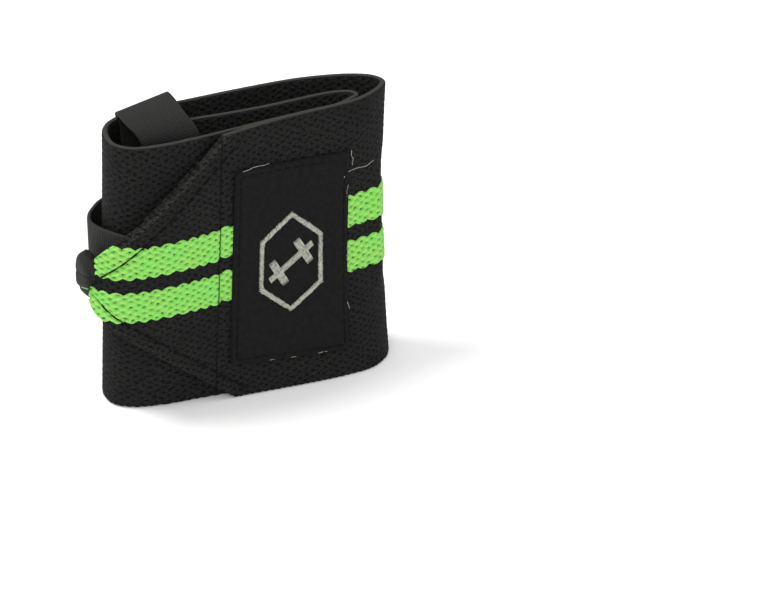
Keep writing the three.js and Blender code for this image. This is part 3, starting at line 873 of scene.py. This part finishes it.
def tube(points, radius):
    """Rings of a thread along points, thinner at both ends."""
    points = np.asarray(points, float)
    along = np.gradient(points, axis=0)
    along /= np.linalg.norm(along, axis=1, keepdims=True)
    side = np.cross(along, np.array([0.31, -0.2, 0.93]))
    side /= np.linalg.norm(side, axis=1, keepdims=True)
    other = np.cross(along, side)
    angle = np.linspace(0, 2 * np.pi, THREAD_SIDES, endpoint=False)
    taper = np.ones(len(points))
    taper[[0, -1]] = 0.35
    reach = radius * taper[:, None, None]
    ring = np.cos(angle)[:, None] * side[:, None] + np.sin(angle)[:, None] * other[:, None]
    return points[:, None] + reach * ring


def threads(name, paths, radius, material, nodes=()):
    """Many short threads as one piece."""
    vertices, faces, coordinates = [], [], []
    for number, path in enumerate(paths):
        rings = tube(path, radius)
        stations, ring = rings.shape[:2]
        index = len(vertices) + np.arange(stations * ring).reshape(stations, ring)
        turned = np.roll(index, -1, axis=1)
        faces += np.stack([index[:-1], turned[:-1], turned[1:], index[1:]], -1).reshape(-1, 4).tolist()
        faces += [index[0][::-1].tolist(), index[-1].tolist()]
        vertices += ((rings.reshape(-1, 3) + SHIFT) * MM).tolist()
        coordinates += [(number * 0.7, 0.5 * station) for station in range(stations) for _ in range(ring)]
    return mesh_object(name, vertices, faces, coordinates, material, nodes)


def stitch_over(start, end, stand_off, rise=0.18, steps=5):
    """A stitch on the patch from start to end, which rises in its middle."""
    share = np.linspace(0, 1, steps)
    across, up = mix(start[0], end[0], share), mix(start[1], end[1], share)
    return patch_point(across, up, stand_off + rise * np.sin(np.pi * share))


def hexagon_point(angle, inset):
    """A place on the emblem's hexagonal line, with a corner at its top."""
    sector = math.pi / 3
    reach = math.cos(sector / 2) / math.cos(angle % sector - sector / 2)
    across = math.sin(angle) * reach * (EMBLEM_WIDTH / 2 - inset)
    up = math.cos(angle) * reach * (EMBLEM_HEIGHT / 2 - inset)
    return np.array([across, up])


def make_emblem_ring(material):
    random = np.random.default_rng(5)
    paths = []
    for number in range(RING_STITCHES):
        angle = 2 * math.pi * number / RING_STITCHES
        slanted = angle + RING_STITCH_SLANT
        inner, outer = random.uniform(-RING_STITCH_STRAY, RING_STITCH_STRAY, 2)
        start, end = hexagon_point(angle, EMBLEM_LINE + inner), hexagon_point(slanted, outer)
        paths.append(stitch_over(start, end, PATCH_OUTER + 0.02, 0.24))
    return threads("ring_stitches", paths, THREAD / 2, material, ["emblem_ring"])


def bar_stitches(from_x, to_x, half_height):
    """Stitches across one stretch of the bar, before it is turned."""
    count = max(2, round(abs(to_x - from_x) / (THREAD * 0.95)) + 1)
    return [(x, half_height) for x in np.linspace(from_x, to_x, count)]


def make_emblem_bar(material):
    half = BAR_LENGTH / 2
    plate_inner, plate_outer = half - 2.2 * BAR_LINE, half - 1.2 * BAR_LINE
    stretches = bar_stitches(-plate_inner, plate_inner, BAR_LINE / 2)
    for side in (-1, 1):
        stretches += bar_stitches(side * plate_inner, side * plate_outer, PLATE_LENGTH / 2)
        stretches += bar_stitches(side * plate_outer, side * half, BAR_LINE / 2)
    turn = np.array([[math.cos(BAR_TURN), -math.sin(BAR_TURN)], [math.sin(BAR_TURN), math.cos(BAR_TURN)]])
    paths = []
    for x, reach in stretches:
        start, end = turn @ (x - 0.1, -reach), turn @ (x + 0.1, reach)
        paths.append(stitch_over(start, end, PATCH_OUTER + 0.02, steps=9))
    return threads("bar_stitches", paths, THREAD / 2, material, ["emblem_bar"])


def patch_outline(inset, step):
    """Places along the patch's stitch line, in pairs for each stitch."""
    width, height = PATCH_WIDTH / 2 - inset, PATCH_HEIGHT / 2 - inset
    corners = [(-width, -height), (width, -height), (width, height), (-width, height), (-width, -height)]
    pairs = []
    for start, end in zip(corners, corners[1:]):
        start, end = np.array(start), np.array(end)
        count = round(np.linalg.norm(end - start) / step)
        for number in range(count):
            first, last = (number + 0.12) / count, (number + 0.88) / count
            pairs.append((mix(start, end, first), mix(start, end, last)))
    return pairs


def make_patch_stitches(material):
    pairs = patch_outline(PATCH_HEM, PATCH_STITCH)
    paths = [stitch_over(start, end, PATCH_OUTER - 0.28, 0.16) for start, end in pairs]
    return threads("patch_stitches", paths, HEM_THREAD, material)


def loose_thread(start, end, seed, waves):
    """A stray thread on or near the patch, from start to end, with a seeded wobble."""
    random = np.random.default_rng(seed)
    share = np.linspace(0, 1, 22)
    phase, other = random.uniform(0, 6, 2)
    swing = waves * np.sin(np.pi * share)
    across = mix(start[0], end[0], share) + 0.5 * swing * np.sin(7 * share + phase)
    up = mix(start[1], end[1], share) + 0.5 * swing * np.cos(6 * share + other)
    return patch_point(across, up, STRAY_LIFT + 0.3 * swing * np.abs(np.sin(5 * share + other)))


def make_loose_threads(material):
    """The bits of pale thread along the patch's edges, each from its start to its end with its waves."""
    right, top, bottom = PATCH_WIDTH / 2, PATCH_HEIGHT / 2, -PATCH_HEIGHT / 2
    spans = [
        ((-15.2, top - 0.1), (-11.0, top + 0.5), 0.25),
        ((-11.4, top + 0.4), (-7.0, top + 0.6), 0.2),
        ((-6.0, bottom + 0.3), (-4.4, bottom + 0.2), 0.3),
        ((0.0, bottom + 0.3), (1.7, bottom + 0.1), 0.3),
        ((8.0, bottom + 0.3), (10.8, bottom + 0.5), 0.4),
        ((right - 0.9, top - 5.6), (right + 7.8, top - 4.5), 0.7),
        ((right + 0.3, top + 0.2), (right + 0.7, top - 4.0), 0.5),
        ((right - 1.9, top - 4.6), (right - 1.6, top - 7.6), 0.3),
        ((right - 0.3, top - 9.0), (right - 0.8, top - 13.0), 0.5),
        ((right - 0.5, 2.0), (right - 0.2, -2.6), 0.7),
        ((right - 1.0, -6.0), (right - 0.6, -10.0), 0.6),
        ((right - 1.6, -9.6), (right + 0.2, -16.0), 0.6),
    ]
    paths = [loose_thread(start, end, seed, waves) for seed, (start, end, waves) in enumerate(spans)]
    return threads("loose_threads", paths, STRAY_THREAD, material)


def path_lengths(points):
    """How far along a path each of its points is."""
    return np.concatenate([[0], np.cumsum(np.linalg.norm(np.diff(points, axis=0), axis=1))])


def ribbon_rings(centre, outward, width_direction):
    """Rings of a ribbed ribbon: its middle line, the way its outer face looks and the way across it."""
    low = np.zeros(len(centre))
    heights, offsets = section(low, low + RIBBON_WIDTH, RIBBON_THICKNESS / 2, 16, 16, 4)
    along = np.broadcast_to(path_lengths(centre)[:, None], heights.shape)
    ribs = RIB_HEIGHT * np.cos(2 * np.pi * along / RIB_PITCH) * np.abs(offsets)
    across = (heights - RIBBON_WIDTH / 2)[..., None] * width_direction[:, None]
    stand_off = (offsets * (RIBBON_THICKNESS / 2 + ribs))[..., None] * outward[:, None]
    return centre[:, None] + across + stand_off, np.stack([along, heights], -1)


def even_path(rows, count=None):
    """A count of points, or one at each ribbon step, at even distances along a smooth curve through rows."""
    fine = curve_points(rows, np.linspace(0, 1, 2000))
    lengths = path_lengths(fine)
    wanted = np.linspace(0, lengths[-1], count or round(lengths[-1] / RIBBON_STEP))
    return np.stack([np.interp(wanted, lengths, fine[:, axis]) for axis in range(fine.shape[1])], 1)


def make_strap(material):
    """The ribbon from under the tip, round the left end and on to the back."""
    plan = even_path(place_in_plan(STRAP_ROWS))
    along = np.gradient(plan, axis=0)
    along /= np.linalg.norm(along, axis=1, keepdims=True)
    centre = np.column_stack([plan, np.full(len(plan), BAND_WIDTH / 2 + STRAP_RAISE)])
    outward = np.column_stack([-along[:, 1], along[:, 0], np.zeros(len(plan))])
    up = np.broadcast_to([0.0, 0.0, 1.0], centre.shape)
    rings, coordinates = ribbon_rings(centre, outward, up)
    return loft("strap", rings[:, ::-1], coordinates[:, ::-1], material, ["tip_strap"])


def loop_rows(across_share):
    """The thumb loop's path at a share across the ribbon, from left to right."""
    depth, height, hug, side, lean = LOOP_ROWS.T
    end_x = band_point(BAND_LENGTH, 0.0, 0.0)[0]
    x = end_x - LOOP_INSET + across_share * RIBBON_WIDTH - lean * LOOP_LEAN
    slant = np.where(height > -0.2, LOOP_SLANT * across_share * smoothstep(depth, 0.3, 0.7), 0)
    z = BAND_WIDTH + height * np.where(height > 0, LOOP_RISE, LOOP_DROP) + slant
    stand_off = side * (BAND_FACE + SEWN_GAP + RIBBON_THICKNESS / 2)
    sewn = band_point(BAND_LENGTH - np.maximum(0, x - end_x), z, stand_off)[:, 1]
    free = (depth + np.where(side > 0, LOOP_SKEW * across_share, 0) - 0.5) * ROLL_DEPTH
    return np.column_stack([x, mix(free, sewn, hug), z])


def make_loop(material):
    """The thumb loop, ruled between its left and its right edge."""
    count = len(even_path(loop_rows(0.5)))
    left, right = even_path(loop_rows(0.0), count), even_path(loop_rows(1.0), count)
    centre = (left + right) / 2
    across = (right - left) / RIBBON_WIDTH
    along = np.gradient(centre, axis=0)
    outward = np.column_stack([np.zeros(len(along)), -along[:, 2], along[:, 1]])
    outward /= np.linalg.norm(outward, axis=1, keepdims=True)
    rings, coordinates = ribbon_rings(centre, outward, across)
    return loft("loop", rings, coordinates, material, ["thumb_loop"])


def cap_point(level, angle, scale=1.0):
    """A place on the gathered pad at the tip, whose upper front bulges over the end of the band."""
    low, high = (np.array(corner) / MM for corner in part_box("tip_cap"))
    centre, reach = (low + high) / 2 - SHIFT, (high - low) / 2
    level, angle = np.broadcast_arrays(np.asarray(level, float), np.asarray(angle, float))
    girth = np.where(level > 0, 1 - np.abs(level) ** 5, 1 - np.abs(level) ** 2.6) ** 0.5
    folds = 1 + 0.04 * np.sin(5 * angle + 3 * level)
    for depth, place, width in CAP_FOLDS:
        folds = folds - depth * groove(level, place, width)
    girth = girth * folds * scale
    front = smoothstep(-np.sin(angle), -0.2, 0.9) * smoothstep(level, -0.9, 0.5)
    x = centre[0] + reach[0] * girth * np.cos(angle) + CAP_BULGE_SIDE * front * girth
    x = x + CAP_FOOT * smoothstep(-level, 0.1, 1.1)
    y = centre[1] + reach[1] * girth * np.sin(angle) - CAP_BULGE * front * girth
    z = centre[2] + reach[2] * level + 0.25 * np.sin(2 * angle)
    return np.stack([x, y, z], -1)


def make_cap(material):
    """The gathered ribbon end at the very tip: a soft pad with pressed folds."""
    level = np.linspace(-0.985, 0.985, 48)[:, None]
    angle = np.linspace(0, 2 * np.pi, 64, endpoint=False)[None, :]
    coordinates = np.stack(np.broadcast_arrays(angle * 2.2, level * 6), -1)
    return loft("cap", cap_point(level, angle), coordinates, material, ["tip_cap"])


def make_tip_stitches(material):
    """The few bright stitches that hold the pad."""
    paths = []
    for start, end, first, last in TIP_STITCHES:
        level, angle = np.linspace(start, end, 9), np.radians(np.linspace(first, last, 9))
        paths.append(cap_point(level, angle, 1.04))
    return threads("tip_stitches", paths, SEWING_THREAD, material)


def make_topstitches(material):
    """The stitch line that holds the turned corners, along both slanting edges."""
    rise = 0.15 * np.sin(np.linspace(0, np.pi, 6))
    paths = []
    for side, inset in ((-1, TOPSTITCH_INSET_LOWER), (1, TOPSTITCH_INSET_UPPER)):
        inside = inset / math.cos(math.atan(POINT_SLOPE))
        for start in np.arange(TOPSTITCH_START, POINT_LENGTH + 2, TOPSTITCH_PITCH):
            distance = start + np.linspace(0, TOPSTITCH_LENGTH, 6)
            height = BAND_WIDTH / 2 + side * (TIP_HALF_HEIGHT + distance * POINT_SLOPE - inside)
            if (side * (height - BAND_WIDTH / 2)).min() > 0:
                paths.append(band_point(distance, height, BAND_FACE - 0.05 + rise))
    return threads("topstitches", paths, SEWING_THREAD, material)


def make_pieces():
    knit, yarn = knit_material(), stripe_material()
    patch_cloth = patch_material()
    # Lit and shaded copies of one black ribbon: the strap is the lightest copy, the loop and the pad are
    # darker shaded copies
    strap_ribbon_lit = ribbon_material("strap_ribbon_lit", 12, 54)
    loop_ribbon_shaded = ribbon_material("loop_ribbon_shaded", 15, 42, (LOOP_FOOT, LOOP_TOP))
    cap_ribbon_shaded = ribbon_material("cap_ribbon_shaded", 16, 34)
    silver = thread_material("silver_thread", linear(*SILVER_THREAD), 0.45)
    pale = thread_material("pale_thread", linear(*PALE_THREAD), 0.7)
    dark = thread_material("dark_thread", linear(*DARK_THREAD), 0.9)
    green = thread_material("green_thread", linear(*GREEN_THREAD), 0.6)
    band = make_band(knit)
    stripes = [
        make_stripe("bright_stripe_upper", "stripe_upper", 1, yarn),
        make_stripe("bright_stripe_lower", "stripe_lower", -1, yarn),
    ]
    corners = [
        make_corner_fold("turned_corner_upper", "corner_fold_upper", 1, knit),
        make_corner_fold("turned_corner_lower", "corner_fold_lower", -1, knit),
    ]
    patch = make_patch(patch_cloth)
    emblem = [make_emblem_ring(silver), make_emblem_bar(silver)]
    stitches = [make_patch_stitches(dark), make_loose_threads(pale)]
    strap, loop = make_strap(strap_ribbon_lit), make_loop(loop_ribbon_shaded)
    cap, knots = make_cap(cap_ribbon_shaded), make_tip_stitches(green)
    topstitches = make_topstitches(dark)


# Studio

def make_floor():
    graph = Graph("floor", 0.9, specular=0.05)
    material = graph.finish(linear(*FLOOR_COLOUR))
    mesh = bpy.data.meshes.new("floor")
    corners = [(x * FLOOR_REACH, y * FLOOR_REACH, 0) for x, y in ((-1, -1), (1, -1), (1, 1), (-1, 1))]
    mesh.from_pydata(corners, [], [(0, 1, 2, 3)])
    mesh.uv_layers.new(name="cloth")
    mesh.materials.append(material)
    floor = bpy.data.objects.new("floor", mesh)
    bpy.context.scene.collection.objects.link(floor)


def put_in_place(thing, place, direction):
    """Adds a lamp or the camera, looking along a direction."""
    thing.location = place
    thing.rotation_mode = "QUATERNION"
    thing.rotation_quaternion = direction.to_track_quat("-Z", "Y")
    bpy.context.scene.collection.objects.link(thing)


def make_light(name, place, size, power):
    data = bpy.data.lights.new(name, "AREA")
    data.shape = "DISK"
    data.size = size
    data.energy = power
    put_in_place(bpy.data.objects.new(name, data), Vector(place), Vector(LAMP_TARGET) - Vector(place))


def make_studio():
    make_floor()
    for lamp in LAMPS:
        make_light(*lamp)
    world = bpy.data.worlds.new("studio")
    world.use_nodes = True
    sky = world.node_tree.nodes["Background"]
    sky.inputs["Color"].default_value = (1, 1, 1, 1)
    sky.inputs["Strength"].default_value = SKY_STRENGTH
    bpy.context.scene.world = world
    bpy.context.scene.view_settings.view_transform = "Standard"


def make_camera():
    data = bpy.data.cameras.new("camera")
    data.sensor_width = SENSOR_WIDTH
    data.lens = SENSOR_WIDTH * FOCAL_PIXELS / IMAGE_WIDTH
    data.clip_start, data.clip_end = 0.01, 50.0
    camera = bpy.data.objects.new("camera", data)
    look = Vector((
        math.sin(CAMERA_TURN) * math.cos(CAMERA_TILT),
        math.cos(CAMERA_TURN) * math.cos(CAMERA_TILT),
        -math.sin(CAMERA_TILT),
    ))
    put_in_place(camera, Vector(SHIFT + CAMERA_PLACE) * MM, look)
    bpy.context.scene.camera = camera


make_pieces()
make_studio()
make_camera()
